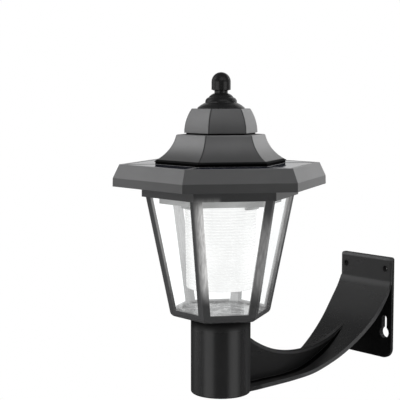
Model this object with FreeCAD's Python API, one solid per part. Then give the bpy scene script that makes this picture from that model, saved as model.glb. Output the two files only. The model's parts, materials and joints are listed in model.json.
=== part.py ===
import FreeCAD, Part
import math
import os

# Fence light: a hexagonal lantern in the tube socket of a curved wall bracket.
# Millimetres. The origin is the centre of the wall plate's back face, +Y points into the wall,
# +Z is up and the lantern stands at -Y. The lantern's own pieces are drawn about its axis, with
# height 0 at the underside of the cage, and are moved into place when they are written.

os.makedirs("parts", exist_ok=True)

# ---------------------------------------------------------------- driving dimensions

# Bracket
REACH = 154.0                # wall to lantern axis
SEAT_Z = 10.7                # socket rim above the plate's centre
PLATE_WIDTH = 51.8
PLATE_HEIGHT = 78.8
PLATE_THICK = 3.9
PLATE_TOP_CORNER = 2.0
PLATE_FOOT_CORNER = 8.0
PLATE_EDGE_ROUND = 1.8
SCREW_SPACING = 40.0
SCREW_HOLE_R = 1.8
SCREW_DROP = 8.9             # plate top to screw line
KEY_HEAD_R = 4.4             # keyhole: hole for the screw's head
KEY_SLOT_R = 2.4             # keyhole: slot for the screw's shank
KEY_HEAD_RISE = 20.2         # plate foot to keyhole head
KEY_SLOT_RISE = 10.9         # keyhole head to slot end
ARM_THICK = 3.0
ARM_START_SHARE = 0.242      # socket to the start of the curve, as a share of socket to plate
# Upper face of the ribbon from there to the plate, as shares of its run and of its rise
ARM_CURVE = ((0.0, 0.0), (0.13, 0.008), (0.26, 0.042), (0.38, 0.11), (0.49, 0.19), (0.58, 0.275),
             (0.69, 0.40), (0.79, 0.54), (0.88, 0.70), (0.95, 0.85), (1.0, 1.0))
ARM_END_LEAN = 0.48          # run over rise of the ribbon where it meets the plate
ARM_TOP_DROP = 18.7          # plate top down to the crease where the ribbon meets the plate
ARM_SOCKET_WIDTH = 28.0
ARM_WAIST_WIDTH = 24.0
ARM_WAIST_SHARE = 0.342      # shares of socket to plate
ARM_FLARE_SHARE = 0.911
ARM_ROUND_SHARE = 0.46
ARM_SIDE_STEP = 0.4          # plate wider than the ribbon on each side
WEB_THICK = 2.8
WEB_CURVE_SHARE = 0.692      # radius of the web's hollow top edge, as a share of socket to plate
WEB_LOW_SHARE = 0.442        # place of its lowest point
WEB_LOW_RISE = 15.6          # web above the ribbon's straight stretch at that point
SOCKET_R = 20.9
SOCKET_BORE_R = 18.3
SOCKET_LENGTH = 54.3
SOCKET_FOOT_ROUND = 1.2
SOCKET_RIM_ROUND = 0.5

# Cage
CAGE_FOOT_R = 35.0           # corner radius at the underside
CAGE_HEIGHT = 84.0           # underside to neck ring
CAGE_WALL = 2.2
CAGE_FLOOR = 2.4
CAGE_FOOT_ROUND = 3.2
POST_STRIP = 5.0             # width of a post on each of its two faces
RIM_HEIGHT = 5.6
NECK_R = 55.1
NECK_STEP = 2.8              # neck ring beyond the corners of the cage
NECK_HEIGHT = 6.2
NECK_WALL = 2.0
NECK_LEDGE = 1.4
SPIGOT_LENGTH = 30.0
SPIGOT_WALL = 2.2
SPIGOT_FLANGE = 1.2
SPIGOT_FLANGE_STEP = 3.7     # flange beyond the spigot
SPIGOT_EDGE = 0.8
SPIGOT_CLEAR = 0.05          # radial running clearance in the socket
SPIGOT_SEAT_CLEAR = 0.1      # radial clearance in the cage's floor
SEAT_GAP = 0.1               # cage underside to socket rim

# Clear liner
LINER_WALL = 1.4
LINER_FLOOR = 1.6
LINER_CLEAR = 0.25
LINER_FLANGE = 1.2
TAB_COUNT = 3                # upright tabs at the floor's corners
TAB_WIDTH = 6.2
TAB_HEIGHT = 6.6
TAB_THICK = 1.5
TAB_GAP = 0.6                # tab to the corner of the panes

# Lid: bayonet between lid and cage
LID_TWIST_DEG = 8.0
LUG_COUNT = 3
LUG_SPAN_DEG = 6.0
LUG_REACH = 3.2
LUG_THICK = 1.4
CATCH_THICK = 1.5
CATCH_LAP_DEG = 0.5          # catch beyond the lug at each end
CATCH_STOP_DEG = 1.5         # wall that stops the lug when the lid is closed
CATCH_CLEAR = 0.5            # catch to the lid's collar
BAYONET_GAP = 0.2
COLLAR_CLEAR = 0.7           # collar to the neck ring's sides
COLLAR_WALL = 1.5
GASKET_THICK = 0.8
GASKET_GAP = 0.2
GASKET_INSET = 1.0           # gasket behind the neck ring's corners
BASE_THICK = 2.0
BASE_CLEAR = 0.25

# Brim, skirt, dome and finial
BRIM_R = 75.0
BRIM_BAND = 5.8
BRIM_BAND_LEAN = 0.2
BRIM_BEVEL = 9.2
BRIM_BEVEL_IN = 4.45
BRIM_WALL = 2.0
BRIM_TOP_THICK = 2.4
SEAL_SETBACK = 0.6           # black seal behind the skirt's corners
SEAL_THICK = 1.6
SEAL_WIDTH = 9.5
SKIRT_R = 46.3
SKIRT_TOP_R = 31.4
SKIRT_RISE = 18.4
SKIRT_HOLLOW = (0.31, 0.455)  # middle of the hollow side, as shares of its depth and of its rise
SKIRT_LIP = 0.5
SKIRT_EDGE_ROUND = 1.2
SKIRT_FOOT_WALLS = 2.6       # skirt's thickness above its foot flange, in walls
SKIRT_SCREW_INSET = 3.1      # screw ring to the side of the brim's opening
SHELL_WALL = 1.8
SKIRT_FLANGE = 1.6
DOME_SETBACK = 1.4           # plinth behind the dome's corners
DOME_GAP = 1.1               # dark line under the dome
DOME_R = 25.6
DOME_TOP_R = 20.4
DOME_RISE = 16.5
DOME_SWELL = (0.79, 0.48)    # middle of the swelling side, as shares of its depth and of its rise
DOME_FLANGE = 1.7
DOME_TOP_WALLS = 0.6         # dome's side wall under its ceiling, in walls
DOME_HOLE_SHARE = 0.517      # round hole in the dome's foot, as a share of the plinth
BOSS_RISE = 1.1              # skirt's bosses above its foot flange
DOME_BOSS = 6.0
FINIAL_R = 16.2
FINIAL_HEIGHT = 24.8
FINIAL_TIP_R = 6.6
# Lower part of the finial, as shares of its radius and of its height; four numbers make an arc
FINIAL_STEPS = ((0.0, 0.0), (1.0, 0.0), (1.0, 0.024), (0.827, 0.109, 0.673, 0.161), (0.673, 0.194),
                (0.636, 0.258, 0.531, 0.306), (0.438, 0.371, 0.284, 0.423), (0.284, 0.492))
FINIAL_TIP_START = 0.516     # share of its height

# Solar strips
STRIP_THICK = 1.1
STRIP_RECESS = 1.2
STRIP_GAP = 0.25             # strip to the walls of its recess
STRIP_MARGIN = 0.6           # recess to the seal
STRIP_INSET = 2.6            # recess to the brim's edge and to the next recess
STRIP_COUNT = 6

# Reflector and diffuser
REFLECTOR_CLEAR = 1.7        # corners to the panes with the lid turned
REFLECTOR_DROP = 5.0         # reflector's floor below the neck ring
REFLECTOR_WALL = 1.5
LIGHT_HOLE_R = 19.0
HOOK_COUNT = 3
HOOK_ANGLE_DEG = 13.5
HOOK_SPAN_DEG = 30.0
HOOK_WALL = 1.6
HOOK_FOOT = 1.8
DIFFUSER_R = 25.1
DIFFUSER_END_R = 23.9
DIFFUSER_LENGTH = 59.0
DIFFUSER_WALL = 1.6
DIFFUSER_FLANGE = 1.4
DIFFUSER_FLANGE_R = 26.1
RIB_PITCH = 2.0
RIB_DEPTH = 0.35
RIB_GROOVE_SHARE = 0.1       # half of the groove between two ribs, as a share of the pitch
DIFFUSER_EDGE = 1.0
HOOK_CLEAR = 0.15

# Light source, board, battery and switch
LED_BOARD_R = 23.5
BOARD_THICK = 1.6
STAKE_R = 0.8
STAKE_COUNT = 3
LED_SIZE = 3.5
LED_THICK = 1.2
LED_COUNT = 6
LED_RING_R = 8.0
CONTROL_LENGTH = 44.0
CONTROL_WIDTH = 24.0
CONTROL_Y = 22.0
DRIVER_SIZE = (6.0, 4.0, 1.6)
COIL_SIZE = (3.2, 4.2)       # radius, height
CAPACITOR_SIZE = (2.5, 5.0)
PART_PITCH = 9.0
STANDOFF_HEIGHT = 3.0
STANDOFF_R = 2.6
STANDOFF_INSET = 3.5         # standoffs from the board's edges
PAD_X = 12.0                 # battery leads on the board
PAD_INSET = 2.5
CELL_R = 7.25
CELL_LENGTH = 50.5
CELL_NUB = 1.2
CELL_NUB_R = 2.7
CELL_Y = -5.5
CELL_EDGE = 0.6
TRAY_WALL = 1.4
TRAY_CLEAR = 0.1
TRAY_SIDE_RISE = 6.5
TRAY_END_RISE = 9.0
CONTACT_THICK = 0.4
CONTACT_WIDTH = 9.0
CONTACT_RISE = 10.4
CONTACT_SPRING = 4.1         # depth of the sprung contact
LEAF_INSET = 1.0             # sprung leaf inside the plate's edges
LEAF_FOOT = 4.5              # its foot below the cell's axis
LEAF_TOP = 1.5               # its top above the axis
SWITCH_LENGTH = 11.0
SWITCH_WIDTH = 5.6
SWITCH_HEIGHT = 5.5
SWITCH_TRAVEL = 3.0
KNOB_LENGTH = 3.0
KNOB_WIDTH = 2.4
KNOB_REACH = 2.2             # knob below the reflector
GRIP_PLACES = (-0.8, 0.0, 0.8)  # grip grooves across the knob
GRIP_WIDTH = 0.4
GRIP_DEPTH = 0.3
SLOT_CLEAR = 0.3
LEAD_R = 0.6
LEAD_BEND = 1.8
LEAD_BEND_WIDE = 3.0
LEAD_HOLE_R = 1.2
LEAD_PITCH = 5.0             # between the two leads of a pair

# Screws: shank radius, head radius, head height
SCREW_BIG = (1.3, 2.6, 1.6)
SCREW_SMALL = (1.0, 2.0, 1.3)
SCREW_FREE = 0.2             # clearance round a shank
SCREW_DEPTH = 7.5
SCREW_END_GAP = 0.5          # screw's end to the bottom of its hole
SCREW_HEAD_ROUND = 0.5       # rounding of a pan head, as a share of its height
SINK_CLEAR = 0.1             # sunk head to its countersink
BOSS_WALL = 1.7
BOSS_WALL_SMALL = 1.2
TRIO_COUNT = 3
BASE_SCREW_COUNT = 6
WALL_GAP = 0.5               # bosses and switch to the reflector's side

# ---------------------------------------------------------------- worked out from them

SIDES = 6
SIXTH = 360.0 / SIDES
FACE_DEG = SIXTH / 2                                   # middle of the face beside the +X corner
COS30 = math.cos(math.radians(30))
TAN30 = math.tan(math.radians(30))
BOW = 1 - math.cos(math.radians(45))                   # middle of a quarter arc from its corner
CAGE_TOP_R = NECK_R - NECK_STEP
NECK_INNER = NECK_R * COS30 - NECK_WALL                # apothem inside the neck ring
COLLAR_R = NECK_INNER - COLLAR_CLEAR
LINER_INNER = CAGE_TOP_R * COS30 - CAGE_WALL - LINER_CLEAR - LINER_WALL
REFLECTOR_R = LINER_INNER / math.cos(math.radians(30 - LID_TWIST_DEG)) - REFLECTOR_CLEAR
BRIM_BAND_R = BRIM_R - BRIM_BAND_LEAN
BRIM_TOP_R = BRIM_BAND_R - BRIM_BEVEL_IN
SEAL_R = SKIRT_R - SEAL_SETBACK
BRIM_OPENING_R = SEAL_R - SEAL_WIDTH
DOME_PLINTH_R = DOME_R - DOME_SETBACK
DOME_FLANGE_R = DOME_PLINTH_R * DOME_HOLE_SHARE
NECK_TOP = CAGE_HEIGHT + NECK_HEIGHT
LID_Z = NECK_TOP + GASKET_GAP + GASKET_THICK           # underside of the lid's base plate
BASE_TOP = LID_Z + BASE_THICK
BAND_TOP = LID_Z + BRIM_BAND
BRIM_TOP = BAND_TOP + BRIM_BEVEL
SKIRT_Z = BRIM_TOP + SEAL_THICK
SKIRT_TOP = SKIRT_Z + SKIRT_RISE
DOME_Z = SKIRT_TOP + DOME_GAP
DOME_TOP = DOME_Z + DOME_RISE
REFLECTOR_Z = CAGE_HEIGHT - REFLECTOR_DROP             # underside of the reflector
REFLECTOR_TOP = REFLECTOR_Z + REFLECTOR_WALL
REFLECTOR_INNER = REFLECTOR_R * COS30 - REFLECTOR_WALL - WALL_GAP
REFLECTOR_SCREW_RING = REFLECTOR_INNER - SCREW_BIG[0] - BOSS_WALL
SWITCH_RADIUS = REFLECTOR_INNER - SWITCH_WIDTH / 2
STAKE_RING_R = (LIGHT_HOLE_R + LED_BOARD_R) / 2
BASE_SCREW_RING = (NECK_R + BRIM_R - BRIM_WALL / COS30) / 2
STANDOFF_X = CONTROL_LENGTH / 2 - STANDOFF_INSET
STANDOFF_Y = CONTROL_WIDTH / 2 - STANDOFF_INSET
SKIRT_SCREW_RING = BRIM_OPENING_R * COS30 + SKIRT_SCREW_INSET
DOME_SCREW_RING = (DOME_FLANGE_R + DOME_PLINTH_R * COS30) / 2
LED_BOARD_TOP = REFLECTOR_TOP + BOARD_THICK
CONTROL_Z = BASE_TOP + STANDOFF_HEIGHT
CONTROL_TOP = CONTROL_Z + BOARD_THICK
TRAY_FLOOR = BASE_TOP + TRAY_WALL
CELL_Z = TRAY_FLOOR + CELL_R + TRAY_CLEAR
CELL_BAY = CELL_LENGTH + CONTACT_SPRING                # between the two contact plates
TRAY_INNER = CELL_BAY / 2 + CONTACT_THICK              # half the length between the end walls
PLATE_TOP = PLATE_HEIGHT / 2
PLATE_FRONT = REACH - PLATE_THICK                      # from the lantern axis
WALL_Y = REACH                                         # wall face, from the lantern axis
CREASE_Z = PLATE_TOP - ARM_TOP_DROP - SEAT_Z           # in the lantern's heights
ARM_TOP = ARM_THICK - SOCKET_LENGTH                    # ribbon's straight upper face
ARM_SPAN = PLATE_FRONT - SOCKET_R
ARM_CURVE_START = SOCKET_R + ARM_START_SHARE * ARM_SPAN
ARM_WAIST_Y = SOCKET_R + ARM_WAIST_SHARE * ARM_SPAN
ARM_FLARE_END = SOCKET_R + ARM_FLARE_SHARE * ARM_SPAN
ARM_RUN = PLATE_FRONT - ARM_CURVE_START
ARM_RISE = CREASE_Z - ARM_TOP
WEB_RADIUS = WEB_CURVE_SHARE * ARM_SPAN
WEB_LOW_POINT = SOCKET_R + WEB_LOW_SHARE * ARM_SPAN
WEB_CENTRE_Z = ARM_TOP + WEB_LOW_RISE + WEB_RADIUS
LANTERN_PLACE = FreeCAD.Vector(0, -REACH, SEAT_Z)
BIG = 400.0                                            # past every edge of the part
OVERCUT = 1.0                                          # a cutting tool past the face it starts from
TINY = 1e-3
LEAST_VOLUME = 0.01


# ---------------------------------------------------------------- helpers

def vec(x, y, z):
    return FreeCAD.Vector(x, y, z)


def line(a, b):
    return Part.makeLine(a, b)


def arc(a, middle, b):
    return Part.Arc(a, middle, b).toShape()


def box(x0, x1, y0, y1, z0, z1):
    return Part.makeBox(x1 - x0, y1 - y0, z1 - z0, vec(x0, y0, z0))


def rod(r, z0, z1, x=0.0, y=0.0):
    return Part.makeCylinder(r, z1 - z0, vec(x, y, z0))


def pipe(r_out, r_in, z0, z1, x=0.0, y=0.0):
    return rod(r_out, z0, z1, x, y).cut(rod(r_in, z0, z1, x, y))


def ring_places(count, radius, first_deg=0.0):
    """Places evenly round the lantern axis."""
    for i in range(count):
        angle = math.radians(first_deg + i * 360.0 / count)
        yield radius * math.cos(angle), radius * math.sin(angle)


def face_of(edges):
    return Part.Face(Part.Wire(Part.__sortEdges__(edges)))


def joined(first, others):
    """One solid from pieces that overlap or share faces."""
    others = list(others)
    shape = first.fuse(others) if others else first
    return shape.removeSplitter()


def cut_all(shape, tools):
    tools = list(tools)
    return shape.cut(tools) if tools else shape


def group(shapes):
    return Part.makeCompound([s for shape in shapes for s in shape.Solids])


def turned(shape, degrees):
    copy = shape.copy()
    copy.rotate(vec(0, 0, 0), vec(0, 0, 1), degrees)
    return copy


def wedge(start_deg, end_deg, radius, z0, z1):
    """A sector of a disc between two angles."""
    solid = Part.makeCylinder(radius, z1 - z0, vec(0, 0, z0), vec(0, 0, 1), end_deg - start_deg)
    return turned(solid, start_deg)


def outline(profile, place):
    """Closed outline through the points of a profile, each placed in space by place()."""
    edges = []
    here = place(*profile[0])
    for point in profile[1:]:
        there = place(*point[-2:])
        if len(point) == 4:
            edges.append(arc(here, place(*point[:2]), there))
        elif (there - here).Length > TINY:
            edges.append(line(here, there))
        here = there
    edges.append(line(here, place(*profile[0])))
    return edges


def hexagonal(profile):
    """A mitred hexagonal solid with corners on +X and -X.

    profile is a list of points (apothem, height), from the axis out and back to the axis.
    A point with four numbers is an arc: through the first two to the last two.
    """
    bar = face_of(outline(profile, lambda a, z: vec(-BIG, a, z))).extrude(vec(2 * BIG, 0, 0))
    corners = [vec(0, 0, 0), vec(BIG * TAN30, BIG, 0), vec(-BIG * TAN30, BIG, 0), vec(0, 0, 0)]
    sector = Part.Face(Part.makePolygon(corners)).extrude(vec(0, 0, 2 * BIG))
    side = bar.common(sector.translated(vec(0, 0, -BIG)))
    return joined(side, [turned(side, SIXTH * i) for i in range(1, SIDES)])


def hex_prism(corner_r, z0, z1):
    a = corner_r * COS30
    return hexagonal([(0, z0), (a, z0), (a, z1), (0, z1)])


def turned_profile(profile):
    """A solid of revolution from (radius, height) points, arcs given as in hexagonal()."""
    edges = outline(profile, lambda r, z: vec(r, 0, z))
    return face_of(edges).revolve(vec(0, 0, 0), vec(0, 0, 1), 360)


def screw(size, x, y, under_head, length, up=True):
    """Pan-head screw. It points up from its head, or down."""
    shank_r, head_r, head_h = size
    if up:
        head = rod(head_r, under_head - head_h, under_head, x, y)
        shank = rod(shank_r, under_head, under_head + length, x, y)
        rim = [e for e in head.Edges if abs(e.BoundBox.ZMax - (under_head - head_h)) < TINY]
    else:
        head = rod(head_r, under_head, under_head + head_h, x, y)
        shank = rod(shank_r, under_head - length, under_head, x, y)
        rim = [e for e in head.Edges if abs(e.BoundBox.ZMin - (under_head + head_h)) < TINY]
    rim = [e for e in rim if len(e.Vertexes) == 1]
    return head.makeFillet(head_h * SCREW_HEAD_ROUND, rim).fuse(shank).removeSplitter()


def sunk_cone(size, x, y, face_z, clear=0.0):
    """Cone of a countersunk head whose flat lies in a face that looks down."""
    shank_r, head_r = size[:2]
    return Part.makeCone(head_r + clear, shank_r + clear, head_r - shank_r, vec(x, y, face_z))


def sunk_screw(size, x, y, face_z, length):
    """Countersunk screw that points up, its head flush with a face."""
    return joined(rod(size[0], face_z, face_z + length, x, y), [sunk_cone(size, x, y, face_z)])


def lead(points, bend):
    """A wire along straight runs joined by tangent arcs of one radius."""
    pts = [vec(*p) for p in points]
    edges = []
    here = pts[0]
    for before, corner, after in zip(pts, pts[1:], pts[2:]):
        u = (corner - before).normalize()
        w = (after - corner).normalize()
        turn = u.getAngle(w)
        back = bend * math.tan(turn / 2)
        start = corner - u * back
        end = corner + w * back
        inward = (w - u).normalize()
        middle = corner + inward * (bend / math.cos(turn / 2) - bend)
        edges.append(line(here, start))
        edges.append(arc(start, middle, end))
        here = end
    edges.append(line(here, pts[-1]))
    path = Part.Wire(edges)
    direction = (pts[1] - pts[0]).normalize()
    section = Part.Wire([Part.makeCircle(LEAD_R, pts[0], direction)])
    return path.makePipeShell([section], True, True)


def export(node, shape, place=LANTERN_PLACE):
    """Write one sub-part, checked to be whole solids."""
    shape = shape.copy()
    shape.translate(place)
    solids = shape.Solids
    assert solids and all(s.isValid() and s.Volume > LEAST_VOLUME for s in solids), node
    shape = solids[0] if len(solids) == 1 else Part.makeCompound(solids)
    shape.exportStep("parts/%s.step" % node)
    print("%-18s solids %2d  volume %9.1f" % (node, len(solids), shape.Volume))


# ---------------------------------------------------------------- bracket

def side_bar(edges, half_width):
    """Extrude an outline drawn in the YZ plane to both sides of the middle plane."""
    return face_of(edges).extrude(vec(2 * half_width, 0, 0)).translated(vec(-half_width, 0, 0))


def curve_through(points):
    """A smooth curve that starts level and ends steeply, at a crease with the plate."""
    spline = Part.BSplineCurve()
    spline.interpolate(Points=points, InitialTangent=vec(0, 1, 0),
                       FinalTangent=vec(0, ARM_END_LEAN, 1))
    return spline.toShape()


def arm_points(depth):
    """Points of the ribbon's curve, moved square to it by a depth below the upper face."""
    top = [vec(0, ARM_CURVE_START + ARM_RUN * run, ARM_TOP + ARM_RISE * rise)
           for run, rise in ARM_CURVE]
    below = []
    for i, point in enumerate(top):
        along = top[min(i + 1, len(top) - 1)] - top[max(i - 1, 0)]
        if i == 0:
            along = vec(0, 1, 0)
        along.normalize()
        below.append(point + vec(0, along.z, -along.y) * depth)
    return below


def arm_ribbon():
    """The curved ribbon: a bent band, narrow beside the socket and as wide as the plate."""
    upper, lower = arm_points(0), arm_points(ARM_THICK)
    ends = [vec(0, WALL_Y - PLATE_THICK / 2, p.z) for p in (upper[-1], lower[-1])]
    starts = [vec(0, 0, p.z) for p in (lower[0], upper[0])]
    band = side_bar([line(starts[1], upper[0]), curve_through(upper), line(upper[-1], ends[0]),
                     line(ends[0], ends[1]), line(ends[1], lower[-1]), curve_through(lower),
                     line(lower[0], starts[0]), line(starts[0], starts[1])], BIG)
    wide = PLATE_WIDTH / 2 - ARM_SIDE_STEP
    half = [(ARM_SOCKET_WIDTH / 2, 0), (ARM_SOCKET_WIDTH / 2, SOCKET_R + ARM_THICK),
            (ARM_WAIST_WIDTH / 2, ARM_WAIST_Y), (wide, ARM_FLARE_END), (wide, WALL_Y)]
    pts = [vec(-x, y, -BIG) for x, y in half] + [vec(x, y, -BIG) for x, y in reversed(half)]
    plan = Part.Face(Part.makePolygon(pts + pts[:1])).extrude(vec(0, 0, 2 * BIG))
    bends = [e for e in plan.Edges if e.BoundBox.ZLength > BIG
             and ARM_WAIST_Y - TINY < e.BoundBox.YMin < ARM_FLARE_END + TINY]
    return band.common(plan.makeFillet(ARM_ROUND_SHARE * ARM_SPAN, bends))


def arm_web():
    """The upright web between socket and ribbon, with a hollow top edge."""
    wall_middle = (SOCKET_R + SOCKET_BORE_R) / 2
    foot = ARM_TOP - ARM_THICK / 2
    slab = box(-WEB_THICK / 2, WEB_THICK / 2, wall_middle, PLATE_FRONT, foot, WEB_CENTRE_Z)
    hollow = Part.makeCylinder(WEB_RADIUS, 2 * BIG, vec(-BIG, WEB_LOW_POINT, WEB_CENTRE_Z),
                               vec(1, 0, 0))
    middle = arm_points(ARM_THICK / 2)
    high = WEB_CENTRE_Z + BIG
    above = side_bar([line(vec(0, 0, high), vec(0, 0, foot)), line(vec(0, 0, foot), middle[0]),
                      curve_through(middle), line(middle[-1], vec(0, middle[-1].y, high)),
                      line(vec(0, middle[-1].y, high), vec(0, 0, high))], BIG)
    return max(slab.cut(hollow).common(above).Solids, key=lambda s: s.BoundBox.YLength)


def wall_plate():
    """The plate: small corners at the top, large ones at the foot, rounded front edges."""
    w = PLATE_WIDTH / 2
    top = PLATE_TOP - SEAT_Z
    foot = top - PLATE_HEIGHT
    plate = box(-w, w, PLATE_FRONT, WALL_Y, foot, top)
    upright = [e for e in plate.Edges if e.BoundBox.YLength > PLATE_THICK / 2]
    plate = plate.makeFillet(PLATE_TOP_CORNER, [e for e in upright if e.BoundBox.ZMin > 0])
    upright = [e for e in plate.Edges if e.BoundBox.YLength > PLATE_THICK / 2
               and e.BoundBox.ZMax < foot + TINY]
    plate = plate.makeFillet(PLATE_FOOT_CORNER, upright)
    front = [e for e in plate.Edges if e.BoundBox.YMax < PLATE_FRONT + TINY]
    return plate.makeFillet(PLATE_EDGE_ROUND, front)


def plate_holes():
    """Two screw holes and two keyholes."""
    top = PLATE_TOP - SEAT_Z
    front = PLATE_FRONT - OVERCUT
    head_z = top - PLATE_HEIGHT + KEY_HEAD_RISE
    slot_z = head_z + KEY_SLOT_RISE
    holes = ((SCREW_HOLE_R, top - SCREW_DROP), (KEY_HEAD_R, head_z), (KEY_SLOT_R, slot_z))
    for x in (-SCREW_SPACING / 2, SCREW_SPACING / 2):
        for r, z in holes:
            yield Part.makeCylinder(r, BIG, vec(x, front, z), vec(0, 1, 0))
        yield box(x - KEY_SLOT_R, x + KEY_SLOT_R, front, BIG, head_z, slot_z)


def socket_tube():
    foot = -SOCKET_LENGTH - SEAT_GAP
    tube = rod(SOCKET_R, foot, -SEAT_GAP)
    low = [e for e in tube.Edges if e.BoundBox.ZMax < foot + TINY and len(e.Vertexes) == 1]
    tube = tube.makeFillet(SOCKET_FOOT_ROUND, low)
    high = [e for e in tube.Edges if e.BoundBox.ZMin > -SEAT_GAP - TINY and len(e.Vertexes) == 1]
    return tube.makeFillet(SOCKET_RIM_ROUND, high)


def bracket():
    plate = cut_all(wall_plate(), plate_holes())
    body = joined(socket_tube(), [arm_ribbon(), arm_web(), plate])
    return body.cut(rod(SOCKET_BORE_R, -BIG, BIG))


# ---------------------------------------------------------------- cage and liner

def cage_r(height):
    """Outer corner radius of the tapered cage at a height."""
    return CAGE_FOOT_R + (CAGE_TOP_R - CAGE_FOOT_R) * height / CAGE_HEIGHT


def cage_apothem(height, inset=0.0):
    return cage_r(height) * COS30 - inset


def cage_windows():
    """The six window openings, each between two posts."""
    low, high = RIM_HEIGHT, CAGE_HEIGHT
    low_w = cage_r(low) / 2 - POST_STRIP
    high_w = cage_r(high) / 2 - POST_STRIP
    pts = [vec(-low_w, 0, low), vec(low_w, 0, low), vec(high_w, 0, high), vec(-high_w, 0, high)]
    opening = Part.Face(Part.makePolygon(pts + pts[:1])).extrude(vec(0, BIG, 0))
    for i in range(SIDES):
        yield turned(opening, SIXTH * i)


def lug_angles():
    """Start angle of each lug. It ends just short of a corner."""
    for i in range(LUG_COUNT):
        yield i * 360.0 / LUG_COUNT - LUG_SPAN_DEG - CATCH_LAP_DEG


def lug_heights():
    lug_high = NECK_TOP - CATCH_THICK - BAYONET_GAP
    return lug_high - LUG_THICK, lug_high


def cage_catches():
    """Shelves in the neck ring that hold the lid's lugs down, each with a stop at its end."""
    lug_low = lug_heights()[0]
    low = NECK_TOP - CATCH_THICK
    for start in lug_angles():
        stop = start - CATCH_LAP_DEG
        shelf = wedge(stop, start + LUG_SPAN_DEG + CATCH_LAP_DEG, BIG, low, NECK_TOP)
        shelf = shelf.fuse(wedge(stop - CATCH_STOP_DEG, stop, BIG, lug_low, NECK_TOP))
        shelf = shelf.common(hex_prism(NECK_R - NECK_WALL / 2, lug_low, NECK_TOP))
        yield shelf.cut(rod(COLLAR_R + CATCH_CLEAR, lug_low, NECK_TOP)).removeSplitter()


def cage():
    foot_a = cage_apothem(0)
    top_a = cage_apothem(CAGE_HEIGHT)
    slope = (top_a - foot_a) / CAGE_HEIGHT
    r = CAGE_FOOT_ROUND
    round_end = (foot_a + slope * r, r)
    outer = hexagonal([(0, 0), (foot_a - r, 0), (foot_a - BOW * r, BOW * r) + round_end,
                       (top_a, CAGE_HEIGHT), (0, CAGE_HEIGHT)])
    inner_low = cage_apothem(CAGE_FLOOR, CAGE_WALL)
    inner = hexagonal([(0, CAGE_FLOOR), (inner_low, CAGE_FLOOR),
                       (top_a - CAGE_WALL, CAGE_HEIGHT), (0, CAGE_HEIGHT)])
    shell = cut_all(outer.cut(inner), cage_windows())
    ledge_top = CAGE_HEIGHT + NECK_LEDGE
    neck = hex_prism(NECK_R, CAGE_HEIGHT, NECK_TOP)
    neck = neck.cut(hex_prism(NECK_INNER / COS30, ledge_top, NECK_TOP))
    neck = neck.cut(hex_prism((top_a - CAGE_WALL) / COS30, CAGE_HEIGHT, ledge_top))
    body = joined(shell, [neck] + list(cage_catches()))
    seat_r = SOCKET_BORE_R - SPIGOT_CLEAR + SPIGOT_SEAT_CLEAR
    return cut_all(body, [rod(seat_r, 0, CAGE_FLOOR),
                          rod(seat_r + SPIGOT_FLANGE_STEP, CAGE_FLOOR - SPIGOT_FLANGE, CAGE_FLOOR)])


def spigot():
    """Round peg that turns in the socket. Its flange lies in the cage's floor, under the liner."""
    r = SOCKET_BORE_R - SPIGOT_CLEAR
    under = CAGE_FLOOR - SPIGOT_FLANGE
    peg = rod(r, -SPIGOT_LENGTH, under)
    low = [e for e in peg.Edges if e.BoundBox.ZMax < SPIGOT_EDGE - SPIGOT_LENGTH
           and len(e.Vertexes) == 1]
    peg = peg.makeChamfer(SPIGOT_EDGE, low)
    body = joined(peg, [rod(r + SPIGOT_FLANGE_STEP, under, CAGE_FLOOR)])
    return body.cut(rod(r - SPIGOT_WALL, -SPIGOT_LENGTH, under))


def clear_liner():
    """One clear cup: six panes, a floor and a flange that rests on the cage's ledge."""
    low = CAGE_FLOOR
    high = CAGE_HEIGHT + NECK_LEDGE
    inset = CAGE_WALL + LINER_CLEAR
    outer = hexagonal([(0, low), (cage_apothem(low, inset), low),
                       (cage_apothem(CAGE_HEIGHT, inset), CAGE_HEIGHT),
                       (cage_apothem(CAGE_HEIGHT, inset), high), (0, high)])
    flange_a = NECK_INNER - LINER_CLEAR
    flange = hexagonal([(0, high), (flange_a, high), (flange_a, high + LINER_FLANGE),
                        (0, high + LINER_FLANGE)])
    inset += LINER_WALL
    floor_top = low + LINER_FLOOR
    inner = hexagonal([(0, floor_top), (cage_apothem(floor_top, inset), floor_top),
                       (cage_apothem(CAGE_HEIGHT, inset), CAGE_HEIGHT),
                       (cage_apothem(CAGE_HEIGHT, inset), high + LINER_FLANGE),
                       (0, high + LINER_FLANGE)])
    cup = outer.fuse(flange).cut(inner)
    tab_out = cage_apothem(floor_top, inset) / COS30 - TAB_WIDTH / 2 * TAN30 - TAB_GAP
    tab = box(tab_out - TAB_THICK, tab_out, -TAB_WIDTH / 2, TAB_WIDTH / 2,
              low + LINER_FLOOR / 2, floor_top + TAB_HEIGHT)
    tops = [e for e in tab.Edges if e.BoundBox.XLength > TAB_THICK / 2
            and e.BoundBox.ZMin > floor_top]
    tab = tab.makeFillet(TAB_THICK / 2, tops)
    return joined(cup, [turned(tab, i * 360.0 / TAB_COUNT) for i in range(TAB_COUNT)])


# ---------------------------------------------------------------- lid base and reflector

def standoff_places():
    for x in (-STANDOFF_X, STANDOFF_X):
        for y in (-STANDOFF_Y, STANDOFF_Y):
            yield x, CONTROL_Y + y


def board_screw_places():
    return [(STANDOFF_X, CONTROL_Y + STANDOFF_Y), (-STANDOFF_X, CONTROL_Y - STANDOFF_Y)]


def reflector_screw_places():
    return list(ring_places(TRIO_COUNT, REFLECTOR_SCREW_RING, FACE_DEG))


def led_lead_places():
    tray_edge = CELL_Y + CELL_R + TRAY_CLEAR + TRAY_WALL
    middle = (tray_edge + CONTROL_Y - CONTROL_WIDTH / 2) / 2
    return [(-LEAD_PITCH / 2, middle), (LEAD_PITCH / 2, middle)]


def switch_lead_places():
    return [(-LEAD_PITCH / 2, SWITCH_RADIUS), (LEAD_PITCH / 2, SWITCH_RADIUS)]


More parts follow.
